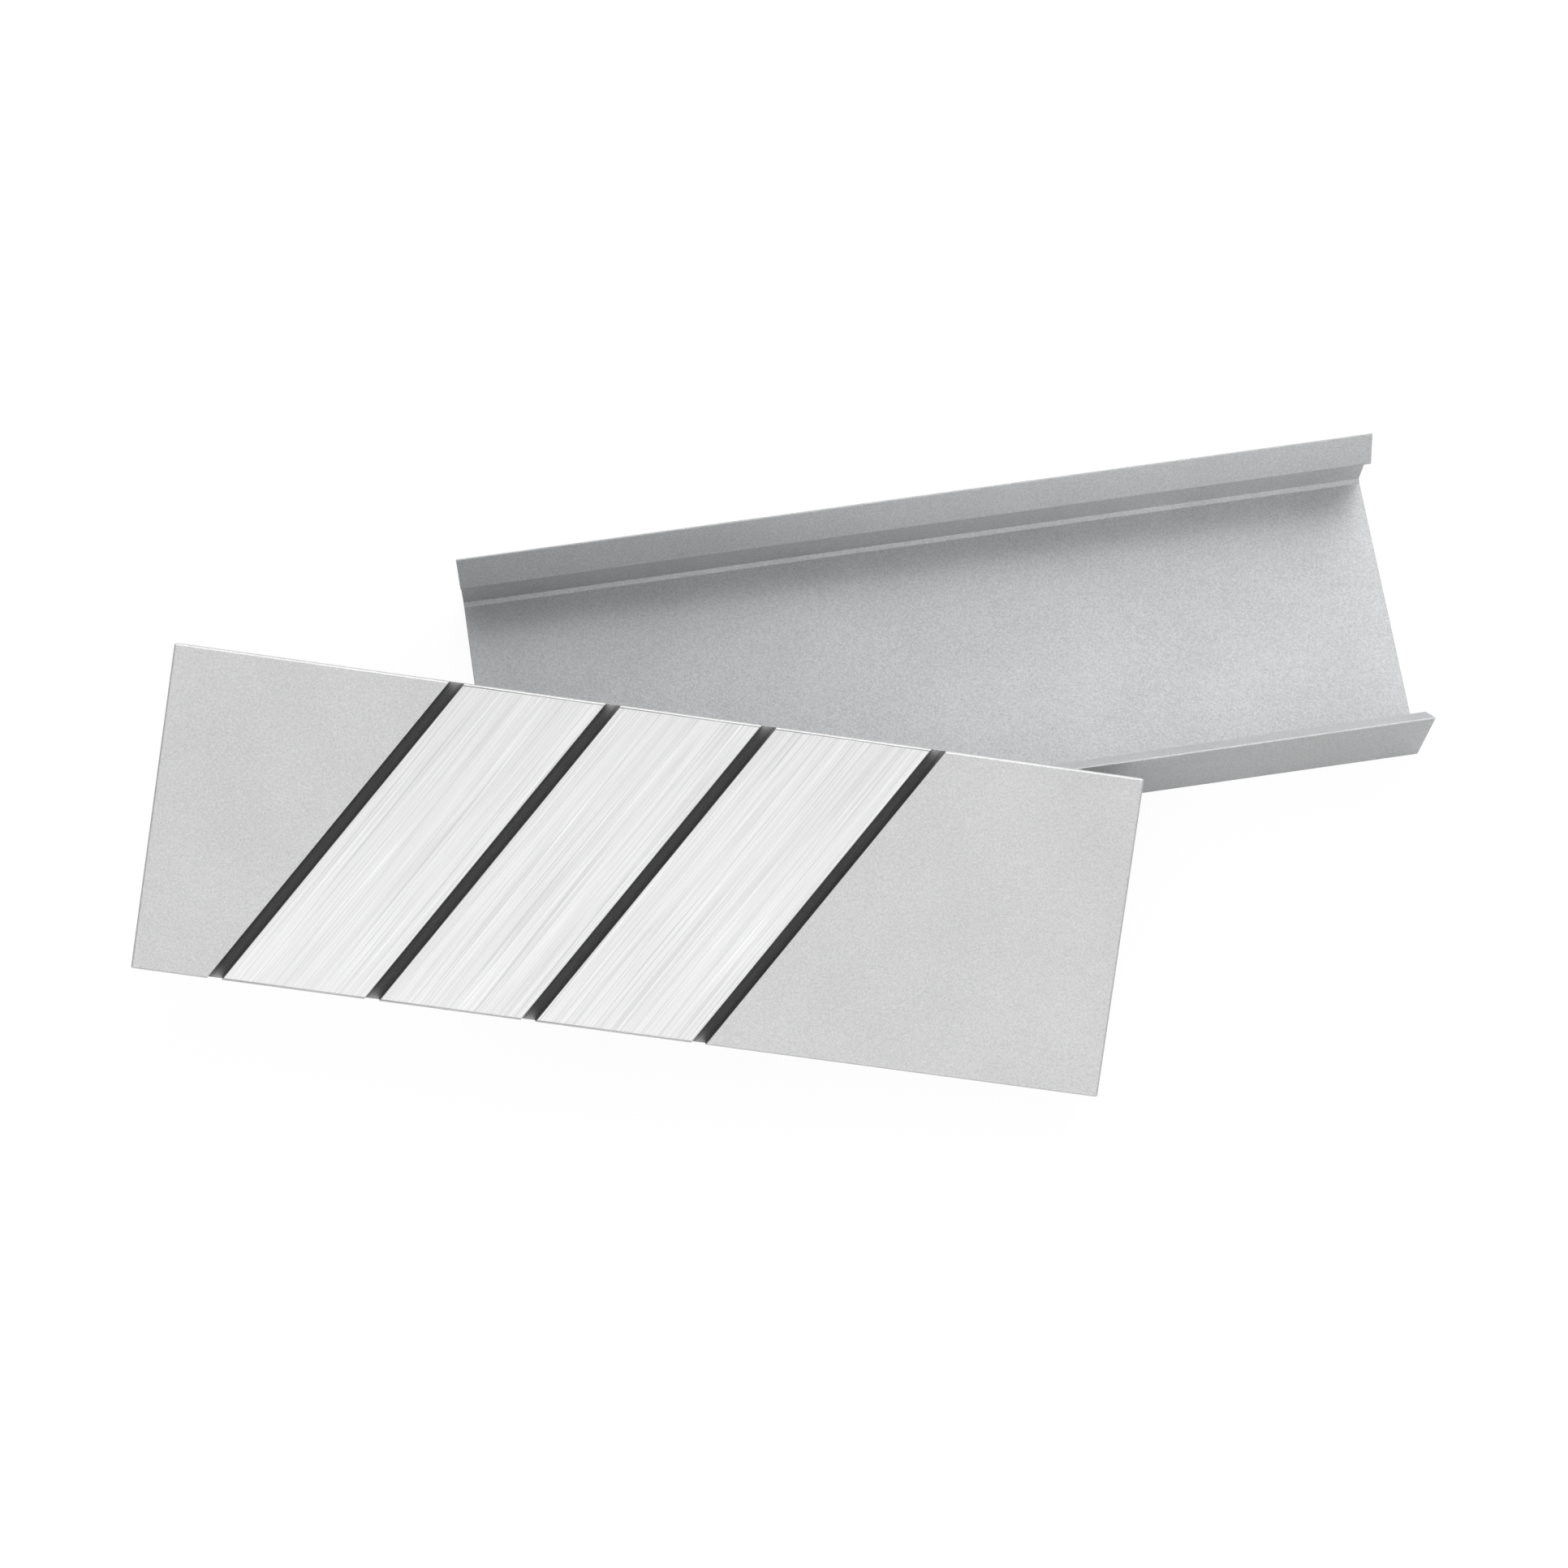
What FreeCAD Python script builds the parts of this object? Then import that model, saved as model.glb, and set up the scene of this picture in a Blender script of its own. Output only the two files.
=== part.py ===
"""Clamp-on heat sink for a small solid-state drive board: an extruded aluminium tray whose
inturned lips grip a slotted aluminium cover. The cover is taken off and leans on the tray.

Millimetres, +Z up. The origin is the middle of the tray's underside, X runs along the tray
and -Y is its front.
"""
import os

import FreeCAD, Part
import Sketcher

os.makedirs("parts", exist_ok=True)
doc = FreeCAD.newDocument("heat_sink")


# Driving sizes

SIZES = [
    ("drive_width", 22.0, "board that lies in the tray"),
    ("bay_play", 0.1, "board to the two walls together"),
    ("body_length", 70.0, "tray and cover alike"),
    ("wall", 0.6, "tray's side walls"),
    ("base", 0.5, "tray's floor"),
    ("tray_rise", 8.0, "underside to top of the walls"),
    ("foot_run", 0.35, "bead at the foot of a wall, across"),
    ("foot_rise", 0.2, "bead at the foot of a wall, up"),
    ("base_round", 0.2, "radius under the outer bottom edges"),
    ("lip_land", 0.12, "flat on top of a wall, outside its lip"),
    ("lip_reach", 1.45, "lip's nose in from the wall's outer face"),
    ("lip_drop", 2.4, "lip's slope, from top to nose"),
    ("lip_nose", 0.2, "blunt nose of the lip"),
    ("plate", 1.5, "cover's plate, as thick as its edge shows"),
    ("plate_bevel", 0.12, "bevel round the plate's top"),
    ("plate_corner", 0.15, "radius at the plate's corners"),
    ("plate_gap", 0.1, "closed plate above the walls"),
    ("neck_gap", 0.2, "closed neck to each lip's nose"),
    ("hook_gap", 0.1, "closed hook under the lips"),
    ("hook", 0.6, "hook's height below the neck"),
    ("hook_play", 0.3, "closed hook to each wall"),
    ("hook_lead", 0.25, "bevel under the hook's edge"),
    ("slot_width", 0.9, "square across a slot"),
    ("slot_depth", 1.05, "slot into the plate"),
    ("slot_lean", 31.3, "degrees from the plate's width"),
    ("slot_start", 5.4, "plate's end to first slot, at the front edge"),
    ("slot_pitch", 11.25, "slots one to three, along the edge"),
    ("last_pitch", 12.35, "slot three to slot four, along the edge"),
    ("pad_thick", 0.5, "soft pad under the cover"),
    ("pad_inset_x", 2.0, "pad in from the block's ends"),
    ("pad_inset_y", 0.6, "pad in from the neck's sides"),
    ("pad_corner", 0.8, "radius at the pad's corners"),
    ("pad_seat", 0.02, "pad under the block"),
    ("lean_seat", 0.03, "pad above the wall that it leans on"),
    ("lean_turn", 16.0, "degrees, cover's length to the tray's"),
    ("lean_reach", 22.25, "cover's low corner to that wall, up the slope"),
    ("lean_along", 40.95, "cover's low corner past the tray's left end"),
]
sheet = doc.addObject("Spreadsheet::Sheet", "dims")
for row, (alias, value, meaning) in enumerate(SIZES, start=1):
    sheet.set(f"A{row}", meaning)
    sheet.set(f"B{row}", str(value))
    sheet.setAlias(f"B{row}", alias)
doc.recompute()


# Sizes worked out from the driving ones

DERIVED = [
    ("body_width", "dims.drive_width + dims.bay_play + 2 * dims.wall"),
    ("neck_width", "derived.body_width - 2 * (dims.lip_reach + dims.neck_gap)"),
    ("neck_rise", "dims.plate_gap + dims.lip_drop + dims.lip_nose + dims.hook_gap"),
    ("hook_width", "derived.body_width - 2 * (dims.wall + dims.hook_play)"),
    ("cover_rise", "dims.plate + derived.neck_rise + dims.hook"),
    ("slot_tan", "tan(dims.slot_lean * 1 deg)"),
    ("slot_mouth", "dims.slot_width / cos(dims.slot_lean * 1 deg)"),
    ("pad_drop", "dims.pad_seat + dims.pad_thick"),
    ("lean_rise", "dims.tray_rise + dims.lean_seat"),
    ("lean_slope", "sqrt(dims.lean_reach ^ 2 + derived.pad_drop ^ 2)"),
    ("lean_tilt", "asin(derived.lean_rise / derived.lean_slope) / 1 deg"
                  " + atan(derived.pad_drop / dims.lean_reach) / 1 deg"),
]
derived = doc.addObject("App::VarSet", "derived")
for name, formula in DERIVED:
    derived.addProperty("App::PropertyFloat", name)
    derived.setExpression(name, formula)
    doc.recompute()


# Bodies, sketches and features

def size(name):
    """Present value of a driving or worked-out size."""
    return getattr(derived, name) if hasattr(derived, name) else float(sheet.get(name))


def new_body(name):
    body = doc.addObject("PartDesign::Body", name)
    body.Label = name
    return body


def origin_part(body, role):
    return next(item for item in body.Origin.OriginFeatures if item.Role == role)


def hold(sketch, kind, *where):
    return sketch.addConstraint(Sketcher.Constraint(kind, *where))


def bind(sketch, name, kind, where, formula):
    """Named dimension of a sketch that follows a formula, measured from where it is drawn."""
    first, first_end, second, second_end = where
    start, end = (sketch.getPoint(first, first_end), sketch.getPoint(second, second_end))
    drawn = end.x - start.x if kind == "DistanceX" else end.y - start.y
    index = hold(sketch, kind, *where, drawn)
    sketch.renameConstraint(index, name)
    sketch.setExpression(f"Constraints.{name}", formula)


def closed_outline(body, name, plane, points):
    """Sketch on an origin plane: one closed chain of lines, the level and upright ones kept so."""
    sketch = body.newObject("Sketcher::SketchObject", name)
    sketch.AttachmentSupport = [(origin_part(body, plane), "")]
    sketch.MapMode = "FlatFace"
    corners = [FreeCAD.Vector(x, y, 0) for x, y in points]
    sides = list(zip(corners, corners[1:] + corners[:1]))
    for start, end in sides:
        sketch.addGeometry(Part.LineSegment(start, end), False)
    for line, (start, end) in enumerate(sides):
        hold(sketch, "Coincident", line, 2, (line + 1) % len(sides), 1)
        if start.y == end.y:
            hold(sketch, "Horizontal", line)
        elif start.x == end.x:
            hold(sketch, "Vertical", line)
    return sketch


def add(body, kind, name, sizes=None, **settings):
    """Feature of a body, with its settings and the formulas of its sizes."""
    feature = body.newObject(kind, name)
    for key, value in settings.items():
        setattr(feature, key, value)
    for key, formula in (sizes or {}).items():
        feature.setExpression(key, formula)
    doc.recompute()
    return feature


def edges_where(feature, wanted):
    """Names of the feature's edges that pass a test of their shape."""
    edges = enumerate(feature.Shape.Edges, start=1)
    return [f"Edge{number}" for number, edge in edges if wanted(edge)]


def faces_where(feature, wanted):
    faces = enumerate(feature.Shape.Faces, start=1)
    return [f"Face{number}" for number, face in faces if wanted(face)]


# Tray: an extruded channel, drawn as half a section and mirrored about its middle plane.
# Each wall ends in a lip that slopes inward and down to a blunt nose with a flat ledge below.

tray = new_body("tray")
half = size("body_width") / 2
inner = half - size("wall")
nose = half - size("lip_reach")
nose_top = size("tray_rise") - size("lip_drop")
ledge = nose_top - size("lip_nose")
foot = size("base") + size("foot_rise")
section = closed_outline(tray, "tray_section", "YZ_Plane", [
    (0, 0), (half, 0), (half, size("tray_rise")), (half - size("lip_land"), size("tray_rise")),
    (nose, nose_top), (nose, ledge), (inner, ledge), (inner, foot),
    (inner - size("foot_run"), size("base")), (0, size("base")),
])
hold(section, "Coincident", 0, 1, -1, 1)
bind(section, "half_width", "DistanceX", (0, 1, 0, 2), "derived.body_width / 2")
bind(section, "rise", "DistanceY", (1, 1, 1, 2), "dims.tray_rise")
bind(section, "land", "DistanceX", (2, 2, 2, 1), "dims.lip_land")
bind(section, "reach", "DistanceX", (3, 2, 1, 2), "dims.lip_reach")
bind(section, "drop", "DistanceY", (3, 2, 3, 1), "dims.lip_drop")
bind(section, "nose", "DistanceY", (4, 2, 4, 1), "dims.lip_nose")
bind(section, "wall", "DistanceX", (6, 1, 1, 1), "dims.wall")
bind(section, "foot_run", "DistanceX", (7, 2, 7, 1), "dims.foot_run")
bind(section, "foot_rise", "DistanceY", (7, 2, 7, 1), "dims.foot_rise")
bind(section, "base", "DistanceY", (9, 2, 9, 1), "dims.base")

tray_half = add(tray, "PartDesign::Pad", "tray_half", {"Length": "dims.body_length"},
                Profile=section, SideType="Symmetric")
tray_whole = add(tray, "PartDesign::Mirrored", "tray_whole",
                 Originals=[tray_half], MirrorPlane=(origin_part(tray, "XZ_Plane"), [""]))
tray.Tip = tray_whole
doc.recompute()


def under_outer_edge(edge):
    """Long edges where the underside meets the outer faces."""
    box = edge.BoundBox
    return box.ZMax < 1e-6 and box.YLength < 1e-6 and abs(abs(box.YMax) - half) < 1e-6


add(tray, "PartDesign::Fillet", "base_rounds", {"Radius": "dims.base_round"},
    Base=(tray_whole, edges_where(tray_whole, under_outer_edge)))


# Cover: an extruded T section, its top at height zero, with hooks under the tray's lips.
# The plate's corners are rounded and its top bevelled before the slots are milled across.

cover = new_body("cover")
neck = size("neck_width") / 2
hook_edge = size("hook_width") / 2
under_plate = -size("plate")
under_neck = under_plate - size("neck_rise")
under_hook = -size("cover_rise")
section = closed_outline(cover, "cover_section", "YZ_Plane", [
    (0, 0), (half, 0), (half, under_plate), (neck, under_plate), (neck, under_neck),
    (hook_edge, under_neck), (hook_edge, under_hook + size("hook_lead")),
    (hook_edge - size("hook_lead"), under_hook), (0, under_hook),
])
hold(section, "Coincident", 0, 1, -1, 1)
bind(section, "half_width", "DistanceX", (0, 1, 0, 2), "derived.body_width / 2")
bind(section, "plate", "DistanceY", (1, 2, 1, 1), "dims.plate")
bind(section, "neck", "DistanceX", (8, 2, 3, 1), "derived.neck_width / 2")
bind(section, "neck_rise", "DistanceY", (3, 2, 3, 1), "derived.neck_rise")
bind(section, "hook_edge", "DistanceX", (8, 2, 4, 2), "derived.hook_width / 2")
bind(section, "hook", "DistanceY", (6, 2, 5, 1), "dims.hook")
bind(section, "lead_across", "DistanceX", (6, 2, 6, 1), "dims.hook_lead")
bind(section, "lead_up", "DistanceY", (6, 2, 6, 1), "dims.hook_lead")

cover_half = add(cover, "PartDesign::Pad", "cover_half", {"Length": "dims.body_length"},
                 Profile=section, SideType="Symmetric")
cover_whole = add(cover, "PartDesign::Mirrored", "cover_whole",
                  Originals=[cover_half], MirrorPlane=(origin_part(cover, "XZ_Plane"), [""]))
cover.Tip = cover_whole
doc.recompute()


def plate_corner_edge(edge):
    """Upright edges at the four corners of the plate."""
    box = edge.BoundBox
    upright = box.XLength < 1e-6 and box.YLength < 1e-6
    return upright and box.ZMax > -1e-6 and abs(abs(box.YMax) - half) < 1e-6


def plate_top(face):
    return face.BoundBox.ZMin > -1e-6


plate_corners = add(cover, "PartDesign::Fillet", "plate_corners", {"Radius": "dims.plate_corner"},
                    Base=(cover_whole, edges_where(cover_whole, plate_corner_edge)))
add(cover, "PartDesign::Chamfer", "plate_bevel", {"Size": "dims.plate_bevel"},
    Base=(plate_corners, faces_where(plate_corners, plate_top)))

slot_end = half + size("slot_width")
slot_left = -size("body_length") / 2 + size("slot_start") - size("slot_width") * size("slot_tan")
slot_run = 2 * slot_end * size("slot_tan")
slot_outline = closed_outline(cover, "slot_outline", "XY_Plane", [
    (slot_left, -slot_end), (slot_left + size("slot_mouth"), -slot_end),
    (slot_left + size("slot_mouth") + slot_run, slot_end), (slot_left + slot_run, slot_end),
])
hold(slot_outline, "Parallel", 1, 3)
bind(slot_outline, "start", "DistanceX", (0, 1, -1, 1),
     "dims.body_length / 2 - dims.slot_start + dims.slot_width * derived.slot_tan")
bind(slot_outline, "front", "DistanceY", (0, 1, -1, 1), "derived.body_width / 2 + dims.slot_width")
bind(slot_outline, "mouth", "DistanceX", (0, 1, 0, 2), "derived.slot_mouth")
bind(slot_outline, "across", "DistanceY", (3, 2, 3, 1),
     "derived.body_width + 2 * dims.slot_width")
bind(slot_outline, "lean", "DistanceX", (3, 2, 3, 1),
     "(derived.body_width + 2 * dims.slot_width) * derived.slot_tan")

first_slot = add(cover, "PartDesign::Pocket", "first_slot", {"Length": "dims.slot_depth"},
                 Profile=slot_outline)
length_axis = (origin_part(cover, "X_Axis"), [""])
even_slots = add(cover, "PartDesign::LinearPattern", "even_slots", {"Offset": "dims.slot_pitch"},
                 Originals=[first_slot], Direction=length_axis, Mode="Spacing", Occurrences=3)
cover.Tip = even_slots
doc.recompute()
last_slot = add(cover, "PartDesign::LinearPattern", "last_slot",
                {"Offset": "2 * dims.slot_pitch + dims.last_pitch"},
                Originals=[first_slot], Direction=length_axis, Mode="Spacing", Occurrences=2)
cover.Tip = last_slot
doc.recompute()


# Thermal pad: a soft sheet stuck to the block under the cover, its underside at height zero.

pad = new_body("thermal_pad")
pad_x = size("body_length") / 2 - size("pad_inset_x")
pad_y = size("neck_width") / 2 - size("pad_inset_y")
pad_outline = closed_outline(pad, "pad_outline", "XY_Plane", [
    (-pad_x, -pad_y), (pad_x, -pad_y), (pad_x, pad_y), (-pad_x, pad_y),
])
hold(pad_outline, "Symmetric", 0, 1, 1, 2, -1, 1)
bind(pad_outline, "length", "DistanceX", (0, 1, 0, 2), "dims.body_length - 2 * dims.pad_inset_x")
bind(pad_outline, "width", "DistanceY", (1, 1, 1, 2), "derived.neck_width - 2 * dims.pad_inset_y")
pad_sheet = add(pad, "PartDesign::Pad", "pad_sheet", {"Length": "dims.pad_thick"},
                Profile=pad_outline)


def upright(edge):
    return edge.BoundBox.ZLength > 1e-6


add(pad, "PartDesign::Fillet", "pad_corners", {"Radius": "dims.pad_corner"},
    Base=(pad_sheet, edges_where(pad_sheet, upright)))


# The cover, taken off, leans on the tray's front wall and stands on one low corner.
# The slope starts on the wall's top outer edge, and the low corner is the hook's.

SLOPE = ("placement(vector(0; -derived.body_width / 2; derived.lean_rise);"
         " rotation(vector(1; 0; 0); derived.lean_tilt))")
LOW_CORNER = ("placement(vector(dims.lean_along - dims.body_length / 2; -dims.lean_reach;"
              " derived.pad_drop); rotation(vector(0; 0; 1); -dims.lean_turn))")
FROM_CORNER = ("placement(vector(-dims.body_length / 2; derived.hook_width / 2 - dims.hook_lead;"
               " {height}); rotation(vector(0; 0; 1); 0))")
cover_place = FROM_CORNER.format(height="derived.cover_rise")
pad_place = FROM_CORNER.format(height="-derived.pad_drop")
cover.setExpression("Placement", f"{SLOPE} * {LOW_CORNER} * {cover_place}")
pad.setExpression("Placement", f"{SLOPE} * {LOW_CORNER} * {pad_place}")
doc.recompute()


# Check and write

for item in doc.Objects:
    if "Invalid" in item.State or "Error" in item.State:
        raise RuntimeError(f"{item.Label} did not recompute: {item.State}")
for body in (tray, cover, pad):
    if body.Shape.isNull() or not body.Shape.isValid() or len(body.Shape.Solids) != 1:
        raise RuntimeError(f"{body.Label} is not one valid solid")
for body in (tray, cover, pad):
    body.Shape.exportStep(f"parts/{body.Label}.step")
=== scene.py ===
import math

import bmesh
import bpy
from mathutils import Matrix, Vector, noise


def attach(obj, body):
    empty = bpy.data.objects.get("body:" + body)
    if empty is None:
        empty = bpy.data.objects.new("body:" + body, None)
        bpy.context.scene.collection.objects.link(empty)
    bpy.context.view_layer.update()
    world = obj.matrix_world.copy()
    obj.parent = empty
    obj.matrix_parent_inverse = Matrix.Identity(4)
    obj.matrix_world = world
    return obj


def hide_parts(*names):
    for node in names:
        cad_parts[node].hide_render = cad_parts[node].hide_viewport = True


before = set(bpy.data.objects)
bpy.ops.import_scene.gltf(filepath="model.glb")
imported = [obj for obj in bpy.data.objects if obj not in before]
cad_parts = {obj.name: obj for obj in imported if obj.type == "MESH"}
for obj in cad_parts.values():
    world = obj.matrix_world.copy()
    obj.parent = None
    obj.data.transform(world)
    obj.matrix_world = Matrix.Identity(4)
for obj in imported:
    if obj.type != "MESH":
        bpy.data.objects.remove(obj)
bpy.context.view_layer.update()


# Tray
# One length of extruded aluminium channel whose walls turn inward at the top as sloping lips.
# It is sawn to length, bead-blasted to a fine even grain and anodised plain silver.

MM = 0.001
EDGE_BREAK = 0.06 * MM
EDGE_STEPS = 3
MERGE_GAP = 0.001 * MM
FLAT_WITHIN = math.radians(0.5)
SHARP = math.radians(20)
SQUARE_ON = 0.99

# Each side is a finish's place in the piece's list of materials. The blasted metal is at 0.
SAWN_SIDE = 1


def merged_copy(node_name):
    """A copy of a CAD node's loose triangles, joined into one shell of whole flat faces."""
    mesh = bmesh.new()
    mesh.from_mesh(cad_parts[node_name].data)
    bmesh.ops.remove_doubles(mesh, verts=mesh.verts, dist=MERGE_GAP)
    bmesh.ops.dissolve_limit(mesh, angle_limit=FLAT_WITHIN, verts=mesh.verts, edges=mesh.edges)
    return mesh


def sharp_edges(mesh):
    """The edges that the tool left, not those inside a flat face."""
    return [edge for edge in mesh.edges if edge.calc_face_angle(0) > SHARP]


def break_edges(mesh, edges, width, steps, finish=-1):
    """Rounds some edges a little, as blasting does."""
    bmesh.ops.bevel(mesh, geom=edges, offset=width, offset_type="OFFSET", segments=steps,
                    profile=0.5, affect="EDGES", material=finish, clamp_overlap=True)


def mark_sawn_ends(mesh):
    """The two cut ends of an extruded length show the saw's lines."""
    for face in mesh.faces:
        if abs(face.normal.x) > SQUARE_ON:
            face.material_index = SAWN_SIDE


def map_lines(mesh, across_and_along):
    """Surface map in millimetres for lines that follow the metal: X across them, Y along them."""
    lines = mesh.loops.layers.uv.new("metal_lines")
    for face in mesh.faces:
        for loop in face.loops:
            loop[lines].uv = [part / MM for part in across_and_along(face, loop.vert.co)]


def finished_piece(mesh, name, node_name, materials):
    """The shaped mesh as a piece that stands for its CAD node, shaded smooth over its edges."""
    data = bpy.data.meshes.new(name)
    mesh.to_mesh(data)
    mesh.free()
    for material in materials:
        data.materials.append(material)
    data.shade_smooth()
    piece = bpy.data.objects.new(name, data)
    bpy.context.scene.collection.objects.link(piece)
    even = piece.modifiers.new("even_shading", "WEIGHTED_NORMAL")
    even.weight = 100
    even.keep_sharp = True
    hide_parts(node_name)
    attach(piece, "root")
    return piece


def node(tree, kind, inputs=None, **settings):
    """Shader node with its settings, and with a value or a link on each named input."""
    made = tree.nodes.new("ShaderNode" + kind)
    for key, value in settings.items():
        setattr(made, key, value)
    for key, value in (inputs or {}).items():
        if isinstance(value, bpy.types.NodeSocket):
            tree.links.new(value, made.inputs[key])
        else:
            made.inputs[key].default_value = value
    return made


def math_of(tree, operation, *values):
    """Result of one sum on values or on nodes' outputs."""
    return node(tree, "Math", dict(enumerate(values)), operation=operation).outputs[0]


def spread(tree, value, low, high, start=0.0, end=1.0):
    """The part of a pattern between two levels, spread over another range."""
    return node(tree, "MapRange", {"Value": value, "From Min": start, "From Max": end,
                                   "To Min": low, "To Max": high}).outputs["Result"]


def new_group(name, inputs, outputs):
    """Shader node group whose inputs are given with their kind and usual value."""
    group = bpy.data.node_groups.new(name, "ShaderNodeTree")
    for label, (kind, value) in inputs.items():
        socket = group.interface.new_socket(label, in_out="INPUT", socket_type="NodeSocket" + kind)
        if value is not None:
            socket.default_value = value
    for label in outputs:
        group.interface.new_socket(label, in_out="OUTPUT", socket_type="NodeSocketFloat")
    return group, group.nodes.new("NodeGroupInput").outputs, group.nodes.new("NodeGroupOutput")


DENT_SIZE = 0.15 * MM
CLOUD_SIZE = 8 * MM
NOISE_RANGE = 0.3, 0.7
LINE_RANGE = 0.33, 0.67
DARK_SCORE_RANGE = 0.61, 0.71
LIGHT_SCORE_RANGE = 0.66, 0.78


def blasted_grain():
    """Dents of fine glass beads as height and tone, and the slow cloudiness of the anodised skin."""
    group, given, result = new_group(
        "blasted_grain",
        {"Vector": ("Vector", None), "Dent Size": ("Float", DENT_SIZE), "Cloud Size": ("Float", CLOUD_SIZE)},
        ["Height", "Speck", "Cloud"])
    per_dent = math_of(group, "DIVIDE", 1.0, given["Dent Size"])
    per_cloud = math_of(group, "DIVIDE", 1.0, given["Cloud Size"])
    rough = node(group, "TexNoise", {"Vector": given["Vector"], "Scale": per_dent, "Detail": 2.5,
                                     "Roughness": 0.7}).outputs[0]
    pits = node(group, "TexVoronoi", {"Vector": given["Vector"], "Scale": per_dent},
                feature="SMOOTH_F1").outputs["Distance"]
    clouds = node(group, "TexNoise", {"Vector": given["Vector"], "Scale": per_cloud, "Detail": 3.0,
                                      "Roughness": 0.6}).outputs[0]
    height = math_of(group, "ADD", rough, math_of(group, "MULTIPLY", pits, 0.5))
    group.links.new(height, result.inputs["Height"])
    group.links.new(spread(group, rough, 0.0, 1.0, *NOISE_RANGE), result.inputs["Speck"])
    group.links.new(spread(group, clouds, 0.0, 1.0, *NOISE_RANGE), result.inputs["Cloud"])
    return group


def drawn_lines():
    """Long parallel lines left by a belt, a blade or a die. X runs across them and Y along them."""
    group, given, result = new_group(
        "drawn_lines",
        {"Vector": ("Vector", None), "Width": ("Float", 0.22), "Length": ("Float", 14.0),
         "Field Width": ("Float", 1.3), "Wander": ("Float", 0.35)},
        ["Lines", "Fields", "Dark Scores", "Light Scores"])
    drift = node(group, "TexNoise", {"Vector": given["Vector"], "Scale": 0.07, "Detail": 1.0}).outputs[0]
    aside = math_of(group, "MULTIPLY", math_of(group, "SUBTRACT", drift, 0.5), given["Wander"])
    bent = node(group, "VectorMath", {0: given["Vector"],
                                      1: node(group, "CombineXYZ", {"X": aside}).outputs[0]},
                operation="ADD").outputs[0]

    def streaks(width, length, layer, detail=2.0, slant=0.0):
        """Noise drawn out into streaks. Each layer lies at its own place and a little askew."""
        turned = node(group, "Mapping", {"Vector": bent, "Rotation": (0, 0, math.radians(slant)),
                                         "Location": (17.3 * layer, 5.1 * layer, 0)}).outputs[0]
        per_size = node(group, "CombineXYZ", {"X": math_of(group, "DIVIDE", 1.0, width),
                                              "Y": math_of(group, "DIVIDE", 1.0, length)}).outputs[0]
        drawn = node(group, "VectorMath", {0: turned, 1: per_size}, operation="MULTIPLY").outputs[0]
        return node(group, "TexNoise", {"Vector": drawn, "Scale": 1.0, "Detail": detail,
                                        "Roughness": 0.65}).outputs[0]

    thin = math_of(group, "MULTIPLY", given["Width"], 0.7)
    long = math_of(group, "MULTIPLY", given["Length"], 1.6)
    straight = streaks(given["Width"], given["Length"], 1, detail=3.0)
    askew = streaks(given["Width"], given["Length"], 2, detail=3.0, slant=0.9)
    lines = math_of(group, "ADD", math_of(group, "MULTIPLY", straight, 0.6),
                    math_of(group, "MULTIPLY", askew, 0.4))
    fields = streaks(given["Field Width"], long, 3)
    dark = streaks(thin, long, 4, detail=0.0, slant=-0.5)
    light = streaks(thin, long, 5, detail=0.0, slant=0.4)
    group.links.new(spread(group, lines, 0.0, 1.0, *LINE_RANGE), result.inputs["Lines"])
    group.links.new(spread(group, fields, 0.0, 1.0, *NOISE_RANGE), result.inputs["Fields"])
    group.links.new(spread(group, dark, 0.0, 1.0, *DARK_SCORE_RANGE), result.inputs["Dark Scores"])
    group.links.new(spread(group, light, 0.0, 1.0, *LIGHT_SCORE_RANGE), result.inputs["Light Scores"])
    return group


BLASTED_GRAIN = blasted_grain()
DRAWN_LINES = drawn_lines()


def new_material(name, metallic, roughness):
    """Material with one Principled shader, and its tree and shader for the rest of it."""
    material = bpy.data.materials.new(name)
    material.use_nodes = True
    tree = material.node_tree
    tree.nodes.clear()
    shader = node(tree, "BsdfPrincipled", {"Metallic": metallic, "Roughness": roughness})
    node(tree, "OutputMaterial", {"Surface": shader.outputs["BSDF"]})
    return material, tree, shader


def grey_between(tree, value, dark, light):
    """Colour that goes from a dark to a light tone with a pattern of 0 to 1."""
    return node(tree, "Mix", {"Factor": value, "A": (*dark, 1), "B": (*light, 1)},
                data_type="RGBA").outputs["Result"]


def bumped(tree, shader, height, strength, depth):
    """Fine relief on a shader from a pattern's height."""
    bump = node(tree, "Bump", {"Height": height, "Strength": strength, "Distance": depth})
    tree.links.new(bump.outputs["Normal"], shader.inputs["Normal"])


SPECK_SHARE, CLOUD_SHARE = 0.8, 0.2
ROUGH_PIT, ROUGH_PEAK = 0.50, 0.42
DENT_DEPTH = 0.02 * MM
SAW_LINES = {"Width": 0.12, "Length": 6.0}


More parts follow.
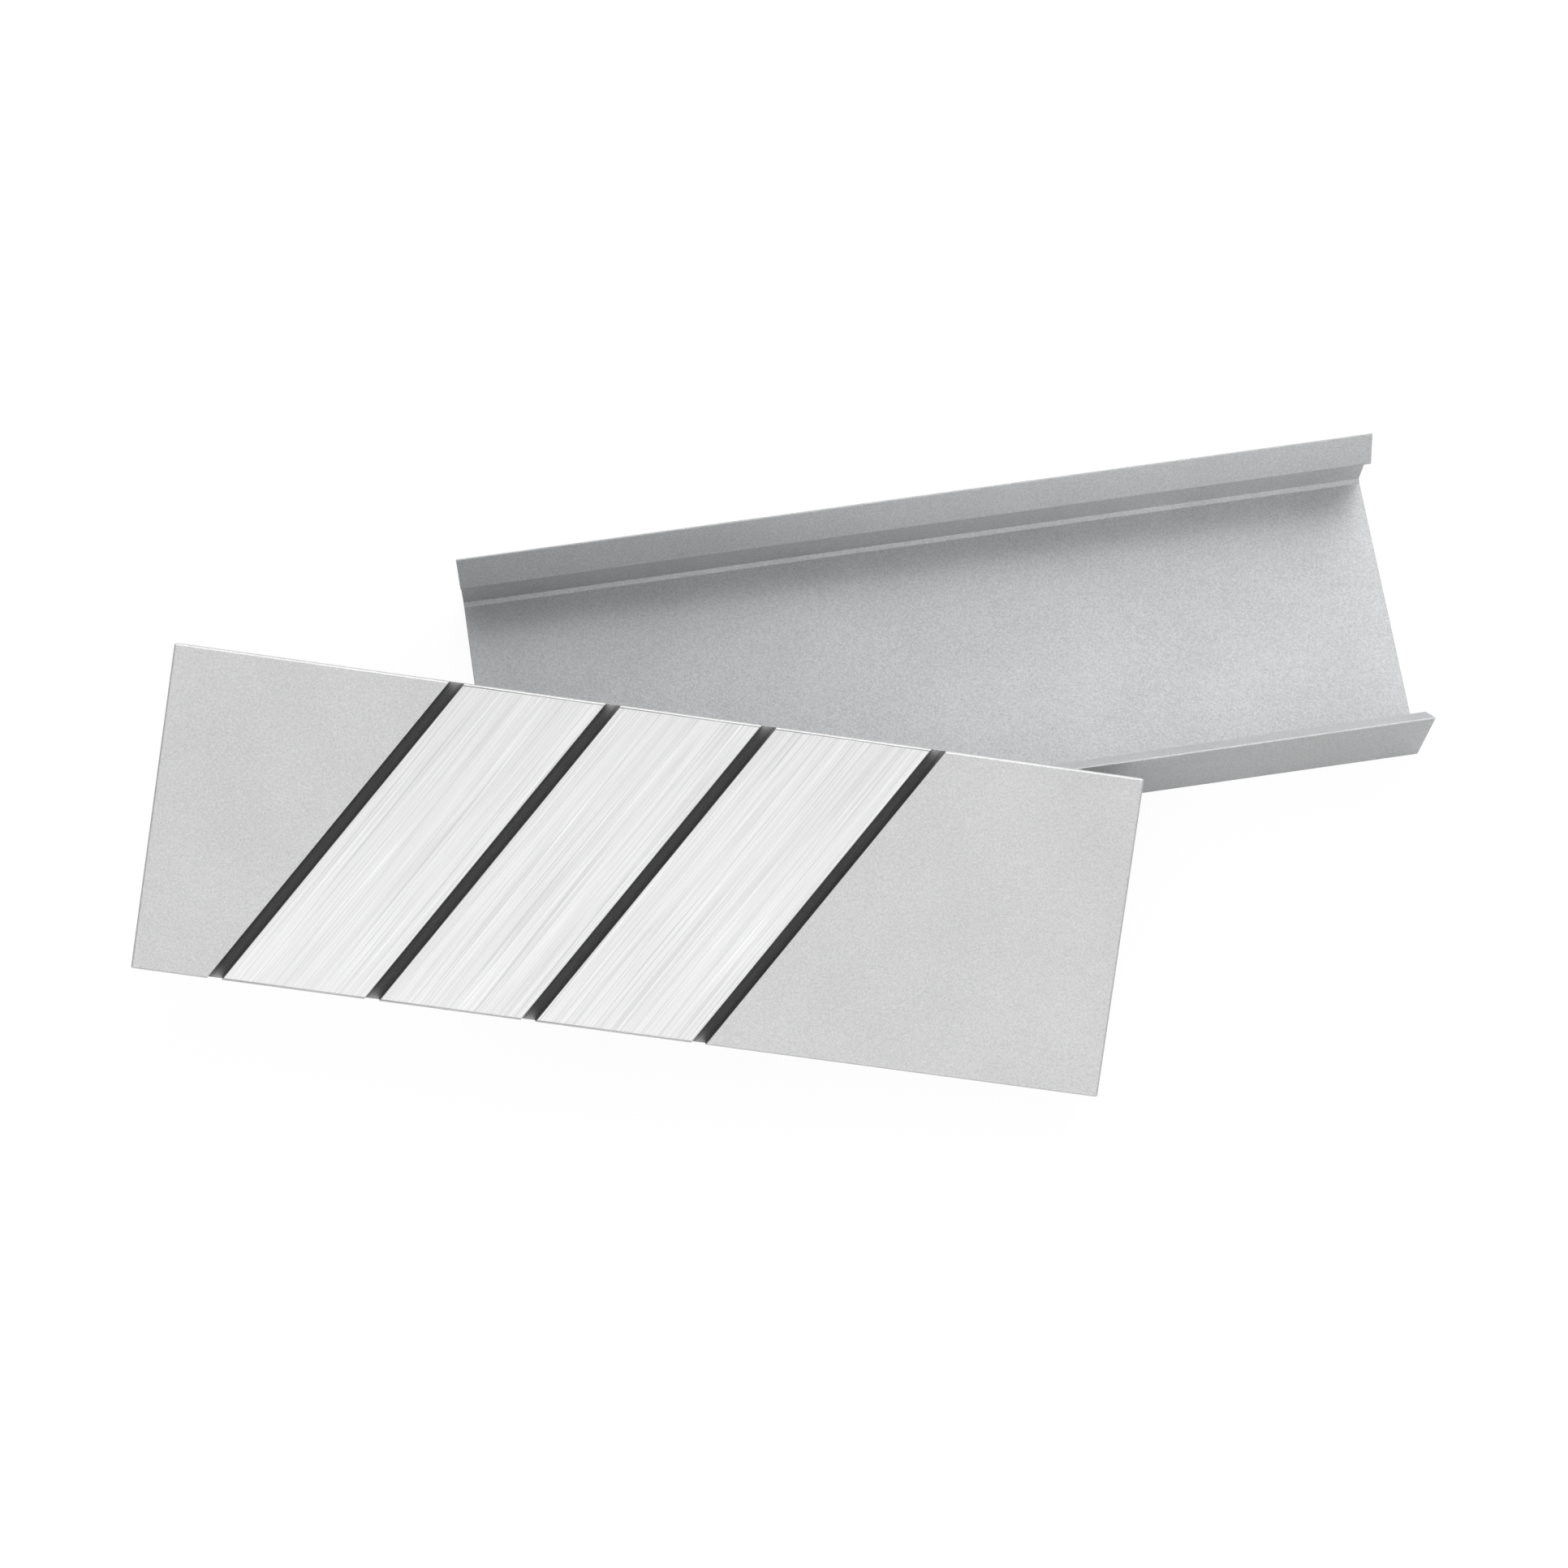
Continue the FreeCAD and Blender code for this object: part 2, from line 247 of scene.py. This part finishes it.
def blasted_silver(name, dark, light, sawn=False):
    """Bead-blasted and anodised aluminium, with the saw's lines left under it on a cut end."""
    material, tree, shader = new_material(name, metallic=0.4, roughness=0.45)
    place = node(tree, "TexCoord").outputs["Object"]
    grain = node(tree, "Group", {"Vector": place}, node_tree=BLASTED_GRAIN).outputs
    tone = math_of(tree, "ADD", math_of(tree, "MULTIPLY", grain["Speck"], SPECK_SHARE),
                   math_of(tree, "MULTIPLY", grain["Cloud"], CLOUD_SHARE))
    height = grain["Height"]
    if sawn:
        ends = node(tree, "UVMap", uv_map="metal_lines").outputs["UV"]
        saw = node(tree, "Group", {"Vector": ends, **SAW_LINES}, node_tree=DRAWN_LINES).outputs["Lines"]
        tone = math_of(tree, "MULTIPLY", math_of(tree, "ADD", tone, saw), 0.5)
        height = math_of(tree, "ADD", height, saw)
    tree.links.new(grey_between(tree, tone, dark, light), shader.inputs["Base Color"])
    tree.links.new(spread(tree, grain["Speck"], ROUGH_PIT, ROUGH_PEAK), shader.inputs["Roughness"])
    bumped(tree, shader, height, 0.5, DENT_DEPTH)
    return material


tray_mesh = merged_copy("tray")
mark_sawn_ends(tray_mesh)
break_edges(tray_mesh, sharp_edges(tray_mesh), EDGE_BREAK, EDGE_STEPS)
map_lines(tray_mesh, lambda face, place: (place.z, place.y))
TRAY_DARK, TRAY_LIGHT = (0.485, 0.49, 0.495), (0.705, 0.71, 0.715)
finished_piece(tray_mesh, "blasted_tray", "tray", [
    blasted_silver("tray_silver", TRAY_DARK, TRAY_LIGHT),
    blasted_silver("tray_sawn_end", TRAY_DARK, TRAY_LIGHT, sawn=True),
])


# Cover
# One extruded aluminium plate with a block and two hooks below it that the tray's lips hold.
# Four slanted slots are milled across its top. The three fields between them are brushed bright
# along the slots, and both ends are left blasted like the tray.

BRUSHED_SIDE, SLOT_WALL, SLOT_FLOOR, RIM_SIDE = 2, 3, 4, 5
RIM_BREAK = 0.05 * MM
PLATE_BREAK = 0.03 * MM
PLATE_STEPS = 2
SAME_LEVEL = 0.01 * MM
LINE_DEPTH = 0.01 * MM
BRUSH_LINES = {"Width": 0.12, "Length": 16.0, "Field Width": 0.8, "Wander": 0.2}
BRUSH_DARK, BRUSH_LIGHT = (0.725, 0.725, 0.73), (0.985, 0.985, 0.985)
BRUSH_STRETCH = 0.7
CUTTER_LINES = {"Width": 0.1, "Length": 3.0}
# Painted shade in the slots: how far the occlusion looks, and where the walls' and floors' colour falls
# towards nearly black.
PAINTED_SHADE_REACH = 1.5 * MM
WALL_PAINTED_SHADE = 0.1, 0.5
FLOOR_PAINTED_SHADE = 0.385, 0.85


def own_axes(mesh):
    """Frame of the flat-backed cover: its widest face looks down, and its length runs along X."""
    back = max(mesh.faces, key=lambda face: face.calc_area())
    long_edge = max(back.edges, key=lambda edge: edge.calc_length())
    along = (long_edge.verts[1].co - long_edge.verts[0].co).normalized()
    if along.x < 0:
        along = -along
    up = -back.normal
    axes = Matrix((along, up.cross(along), up)).transposed().to_4x4()
    axes.translation = back.calc_center_median()
    return axes


cover_mesh = merged_copy("cover")
COVER_AXES = own_axes(cover_mesh)
cover_mesh.transform(COVER_AXES.inverted())
cover_mesh.normal_update()
mark_sawn_ends(cover_mesh)
top = max(vert.co.z for vert in cover_mesh.verts)
level_faces = [face for face in cover_mesh.faces if face.normal.z > SQUARE_ON]
top_fields = sorted((face for face in level_faces if face.verts[0].co.z > top - SAME_LEVEL),
                    key=lambda face: face.calc_center_median().x)
bands = top_fields[1:-1]
slot_edge = max(bands[0].edges, key=lambda edge: edge.calc_length())
slot_run = (slot_edge.verts[1].co - slot_edge.verts[0].co).normalized()
slot_side = slot_run.cross(Vector((0, 0, 1)))

for face in bands:
    face.material_index = BRUSHED_SIDE
for face in cover_mesh.faces:
    if abs(face.normal.dot(slot_side)) > SQUARE_ON:
        face.material_index = SLOT_WALL
    elif face in level_faces and face not in top_fields:
        face.material_index = SLOT_FLOOR
band_rims = list({edge for face in bands for edge in face.edges})
break_edges(cover_mesh, band_rims, RIM_BREAK, PLATE_STEPS, RIM_SIDE)
plain_edges = [edge for edge in sharp_edges(cover_mesh)
               if all(face.material_index != RIM_SIDE for face in edge.link_faces)]
break_edges(cover_mesh, plain_edges, PLATE_BREAK, PLATE_STEPS)


def along_slots_or_saw(face, place):
    """Brushing runs along the slots, and the saw's lines run across the cut ends."""
    if face.material_index == SAWN_SIDE:
        return place.z, place.y
    return slot_side.dot(place), slot_run.dot(place)


map_lines(cover_mesh, along_slots_or_saw)
cover_mesh.transform(COVER_AXES)


def brushed_bright():
    """Bright metal brushed one way: fine lines, broader streaks and a few deeper scores."""
    material, tree, shader = new_material("brushed_bright", metallic=1.0, roughness=0.3)
    place = node(tree, "UVMap", uv_map="metal_lines").outputs["UV"]
    brush = node(tree, "Group", {"Vector": place, **BRUSH_LINES}, node_tree=DRAWN_LINES).outputs
    tone = math_of(tree, "ADD", math_of(tree, "MULTIPLY", brush["Lines"], 0.75),
                   math_of(tree, "MULTIPLY", brush["Fields"], 0.25))
    tone = math_of(tree, "SUBTRACT", tone, math_of(tree, "MULTIPLY", brush["Dark Scores"], 0.85))
    tone = math_of(tree, "ADD", tone, math_of(tree, "MULTIPLY", brush["Light Scores"], 0.15))
    tree.links.new(grey_between(tree, tone, BRUSH_DARK, BRUSH_LIGHT), shader.inputs["Base Color"])
    tree.links.new(spread(tree, brush["Lines"], 0.40, 0.26), shader.inputs["Roughness"])
    bumped(tree, shader, brush["Lines"], 0.15, LINE_DEPTH)
    tangent = node(tree, "Tangent", direction_type="UV_MAP", uv_map="metal_lines")
    tree.links.new(tangent.outputs[0], shader.inputs["Tangent"])
    shader.inputs["Anisotropic"].default_value = BRUSH_STRETCH
    return material


def milled_grey(name, dark, light, roughness, metallic, painted_shade=None):
    """Metal with a cutter's fine lines. In a slot's corners it can be painted darker, nearly black, as
    painted shade where the sides close in.
    """
    material, tree, shader = new_material(name, metallic, roughness)
    place = node(tree, "UVMap", uv_map="metal_lines").outputs["UV"]
    lines = node(tree, "Group", {"Vector": place, **CUTTER_LINES}, node_tree=DRAWN_LINES).outputs["Lines"]
    tone = lines
    if painted_shade:
        # Painted shade: the colour darkens as the occlusion finds the slot's sides close by.
        open_share = node(tree, "AmbientOcclusion", {"Distance": PAINTED_SHADE_REACH}, samples=12,
                          only_local=True).outputs["AO"]
        tone = math_of(tree, "MULTIPLY", spread(tree, tone, 0.6, 1.0),
                       spread(tree, open_share, 0.0, 1.0, *painted_shade))
    tree.links.new(grey_between(tree, tone, dark, light), shader.inputs["Base Color"])
    bumped(tree, shader, lines, 0.3, LINE_DEPTH)
    return material


COVER_DARK, COVER_LIGHT = (0.58, 0.58, 0.58), (0.78, 0.78, 0.78)
finished_piece(cover_mesh, "slotted_cover", "cover", [
    blasted_silver("cover_silver", COVER_DARK, COVER_LIGHT),
    blasted_silver("cover_sawn_end", COVER_DARK, COVER_LIGHT, sawn=True),
    brushed_bright(),
    # The slots' walls and floors are the same milled metal as the rest, given separate near-black tones as
    # painted shade.
    milled_grey("slot_wall", dark=(0.03, 0.03, 0.03), light=(0.28, 0.28, 0.28), roughness=0.55,
                metallic=0.2, painted_shade=WALL_PAINTED_SHADE),
    milled_grey("slot_floor", dark=(0.01, 0.01, 0.01), light=(0.8, 0.8, 0.8), roughness=0.6,
                metallic=0.0, painted_shade=FLOOR_PAINTED_SHADE),
    milled_grey("milled_rim", dark=(0.42, 0.42, 0.42), light=(0.56, 0.56, 0.56), roughness=0.35,
                metallic=1.0),
])


# Thermal pad
# A soft silicone sheet that is pressed on the cover's underside and carries the heat to it.
# It is cut from a roll, so its edges are a little round and its open face is a little uneven.

PAD_ROUND = 0.12 * MM
PAD_DIP = 0.04 * MM
PAD_CUT = 1.5 * MM
PAD_WAVE = 7 * MM
PAD_DARK, PAD_LIGHT = (0.24, 0.28, 0.32), (0.34, 0.38, 0.42)
DIMPLE_SIZE = 0.4 * MM
DIMPLE_DEPTH = 0.04 * MM
FILLER_CLOUDS = 5 * MM

pad_mesh = merged_copy("thermal_pad")
pad_mesh.transform(COVER_AXES.inverted())
pad_mesh.normal_update()
break_edges(pad_mesh, sharp_edges(pad_mesh), PAD_ROUND, EDGE_STEPS)
for axis in range(2):
    reach = max(vert.co[axis] for vert in pad_mesh.verts)
    normal = Vector((axis == 0, axis == 1, 0))
    cuts = int(reach / PAD_CUT)
    for step in range(-cuts, cuts + 1):
        every_part = pad_mesh.verts[:] + pad_mesh.edges[:] + pad_mesh.faces[:]
        bmesh.ops.bisect_plane(pad_mesh, geom=every_part, plane_co=normal * step * PAD_CUT, plane_no=normal)
open_side = min(vert.co.z for vert in pad_mesh.verts)
for vert in pad_mesh.verts:
    if vert.co.z < open_side + SAME_LEVEL:
        vert.co.z += PAD_DIP * (0.5 + 0.5 * noise.noise(vert.co / PAD_WAVE))
pad_mesh.transform(COVER_AXES)


def silicone():
    """Grey filled silicone, with the fine dimples of the film that it was cast on."""
    material, tree, shader = new_material("grey_silicone", metallic=0.0, roughness=0.6)
    place = node(tree, "TexCoord").outputs["Object"]
    grain = node(tree, "Group", {"Vector": place, "Dent Size": DIMPLE_SIZE, "Cloud Size": FILLER_CLOUDS},
                 node_tree=BLASTED_GRAIN).outputs
    tone = math_of(tree, "MULTIPLY", math_of(tree, "ADD", grain["Speck"], grain["Cloud"]), 0.5)
    tree.links.new(grey_between(tree, tone, PAD_DARK, PAD_LIGHT), shader.inputs["Base Color"])
    tree.links.new(spread(tree, grain["Cloud"], 0.5, 0.68), shader.inputs["Roughness"])
    bumped(tree, shader, grain["Height"], 0.4, DIMPLE_DEPTH)
    return material


thermal_pad = finished_piece(pad_mesh, "soft_thermal_pad", "thermal_pad", [silicone()])


# Studio
# A plain white floor, a pale sky and softboxes all round it at several heights. The camera
# stands where the photograph was taken from.

FLOOR_DROP = 0.02 * MM
FLOOR_HALF = 3.0
PAPER_TONE = (0.6, 0.6, 0.6, 1)
WHITE = (1, 1, 1, 1)
WHITE_STRENGTH = 1.09
WHITE_SEEN = 0.86
WHITE_MIRRORED = 0.12
SKY_TONE = (0.26, 0.26, 0.264, 1)


def white_floor():
    """White paper. The camera and mirrors see it lifted towards pure white, with its shadow."""
    material = bpy.data.materials.new("white_floor")
    material.use_nodes = True
    tree = material.node_tree
    tree.nodes.clear()
    paper = node(tree, "BsdfDiffuse", {"Color": PAPER_TONE}).outputs[0]
    glow = node(tree, "Emission", {"Color": WHITE, "Strength": WHITE_STRENGTH}).outputs[0]
    path = node(tree, "LightPath").outputs
    mirrored = math_of(tree, "MAXIMUM", path["Is Glossy Ray"], path["Is Transmission Ray"])
    share = math_of(tree, "ADD", math_of(tree, "MULTIPLY", path["Is Camera Ray"], WHITE_SEEN),
                    math_of(tree, "MULTIPLY", mirrored, WHITE_MIRRORED))
    seen = node(tree, "MixShader", {0: share, 1: paper, 2: glow}).outputs[0]
    node(tree, "OutputMaterial", {"Surface": seen})
    return material


floor_mesh = bmesh.new()
bmesh.ops.create_grid(floor_mesh, x_segments=1, y_segments=1, size=FLOOR_HALF)
bmesh.ops.translate(floor_mesh, verts=floor_mesh.verts, vec=(0, 0, -FLOOR_DROP))
floor_data = bpy.data.meshes.new("studio_floor")
floor_mesh.to_mesh(floor_data)
floor_mesh.free()
floor_data.materials.append(white_floor())
floor = bpy.data.objects.new("studio_floor", floor_data)
bpy.context.scene.collection.objects.link(floor)

world = bpy.data.worlds.new("studio_sky")
world.use_nodes = True
sky = world.node_tree.nodes["Background"].inputs
sky["Color"].default_value = SKY_TONE
sky["Strength"].default_value = 1.0
bpy.context.scene.world = world

BOX_DISTANCE = 0.5
SUBJECT = Vector((-0.01, -0.01, 0))


def softbox(name, azimuth, lift, width, height, brightness):
    """Rectangular lamp aimed at the part. Angles are in degrees, the azimuth from +X towards +Y."""
    turn, rise = math.radians(azimuth), math.radians(lift)
    away = Vector((math.cos(turn) * math.cos(rise), math.sin(turn) * math.cos(rise), math.sin(rise)))
    lamp = bpy.data.lights.new(name, "AREA")
    lamp.shape = "RECTANGLE"
    lamp.size, lamp.size_y = width, height
    lamp.energy = brightness * math.pi * width * height
    holder = bpy.data.objects.new(name, lamp)
    holder.location = away * BOX_DISTANCE
    holder.rotation_euler = (SUBJECT - holder.location).to_track_quat("-Z", "Y").to_euler()
    bpy.context.scene.collection.objects.link(holder)


softbox("front_low_softbox", azimuth=270, lift=12, width=0.3, height=0.3, brightness=1.7)
softbox("front_broad_softbox", azimuth=270, lift=45, width=0.6, height=0.6, brightness=0.86)
softbox("left_side_softbox", azimuth=202, lift=37, width=0.3, height=0.3, brightness=0.8)
softbox("back_low_softbox", azimuth=70, lift=15, width=0.9, height=0.4, brightness=1.5)
softbox("back_right_softbox", azimuth=67, lift=37, width=0.3, height=0.3, brightness=1.8)
softbox("right_high_softbox", azimuth=45, lift=62, width=0.3, height=0.3, brightness=1.35)
softbox("back_high_softbox", azimuth=90, lift=75, width=0.4, height=0.4, brightness=0.45)

SENSOR_WIDTH = 36
LENS = 87.18
CAMERA_PLACE = Vector((-29.982, -97.835, 271.589)) * MM
CAMERA_RIGHT = Vector((0.98830, -0.15210, 0.01113))
CAMERA_AHEAD = Vector((0.05946, 0.31705, -0.94654))

camera_data = bpy.data.cameras.new("camera")
camera_data.sensor_width = SENSOR_WIDTH
camera_data.lens = LENS
camera = bpy.data.objects.new("camera", camera_data)
camera_axes = Matrix((CAMERA_RIGHT, CAMERA_RIGHT.cross(CAMERA_AHEAD), -CAMERA_AHEAD)).transposed()
camera.matrix_world = Matrix.Translation(CAMERA_PLACE) @ camera_axes.to_4x4()
bpy.context.scene.collection.objects.link(camera)
bpy.context.scene.camera = camera
bpy.context.scene.view_settings.view_transform = "Standard"
